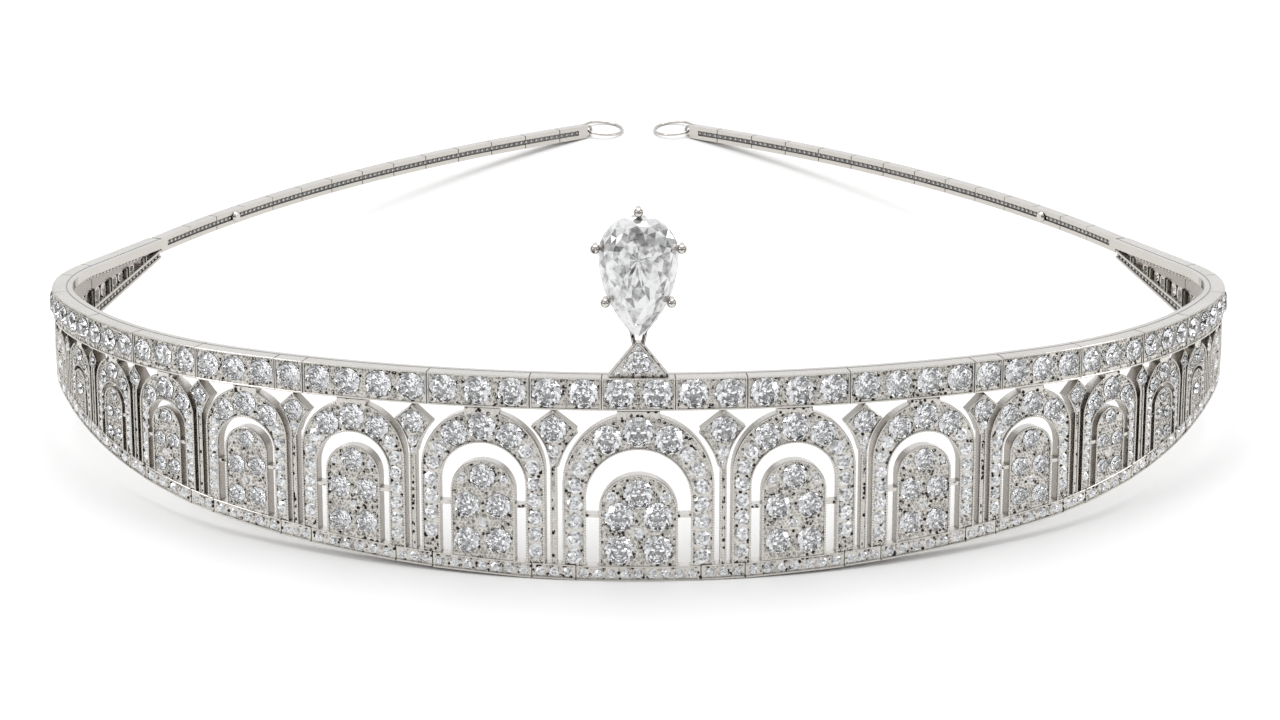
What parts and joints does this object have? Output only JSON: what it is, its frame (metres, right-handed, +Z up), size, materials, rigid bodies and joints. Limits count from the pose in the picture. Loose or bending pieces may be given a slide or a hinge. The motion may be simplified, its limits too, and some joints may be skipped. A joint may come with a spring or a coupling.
{
  "type": "diadem",
  "caption": "Open diadem of pierced arches and spear shaped uprights under a band of round stones, with an upright pear shaped stone at the centre and two long rear bands.",
  "frame": {"origin": "middle of the bounding box at the level of the surface that the diadem rests on", "axes": "+X to the wearer's left, the viewer's right from the front; +Y to the back of the head; +Z up"},
  "size_m": [0.1648, 0.1552, 0.0497],
  "materials": {
    "platinum_band": "polished platinum, worn soft",
    "platinum_arches": "polished platinum with beaded edges",
    "platinum_spears": "polished platinum with beaded edges",
    "platinum_setting": "polished platinum",
    "platinum_polished": "bright polished platinum",
    "platinum_wire": "bright drawn platinum wire",
    "diamond": "polished facets"
  },
  "bodies": {
    "root": {"arch_centre": "platinum_arches", "arch_right_1": "platinum_arches", "arch_right_2": "platinum_arches", "arch_right_3": "platinum_arches", "arch_right_4": "platinum_arches", "arch_right_5": "platinum_arches", "arch_right_6": "platinum_arches", "arch_right_7": "platinum_arches", "arch_right_8": "platinum_arches", "arch_left_1": "platinum_arches", "arch_left_2": "platinum_arches", "arch_left_3": "platinum_arches", "arch_left_4": "platinum_arches", "arch_left_5": "platinum_arches", "arch_left_6": "platinum_arches", "arch_left_7": "platinum_arches", "arch_left_8": "platinum_arches", "spear_right_1": "platinum_spears", "spear_right_2": "platinum_spears", "spear_right_3": "platinum_spears", "spear_right_4": "platinum_spears", "spear_right_5": "platinum_spears", "spear_right_6": "platinum_spears", "spear_right_7": "platinum_spears", "spear_right_8": "platinum_spears", "spear_left_1": "platinum_spears", "spear_left_2": "platinum_spears", "spear_left_3": "platinum_spears", "spear_left_4": "platinum_spears", "spear_left_5": "platinum_spears", "spear_left_6": "platinum_spears", "spear_left_7": "platinum_spears", "spear_left_8": "platinum_spears", "corner_right": "platinum_arches", "corner_left": "platinum_arches", "side_end_right": "platinum_arches", "side_end_left": "platinum_arches", "band_right": "platinum_band", "band_left": "platinum_band", "rail_centre": "platinum_polished", "rail_right": "platinum_polished", "rail_left": "platinum_polished", "rear_band_right": "platinum_polished", "rear_band_left": "platinum_polished", "end_ring_right": "platinum_wire", "end_ring_left": "platinum_wire", "rivet_right": "platinum_wire", "rivet_left": "platinum_wire", "pear_setting": "platinum_setting", "pear_diamond": "diamond", "plate_diamond": "diamond", "band_diamonds": "diamond", "arch_diamonds": "diamond", "niche_diamonds": "diamond", "spear_diamonds": "diamond"}
  },
  "joints": []
}
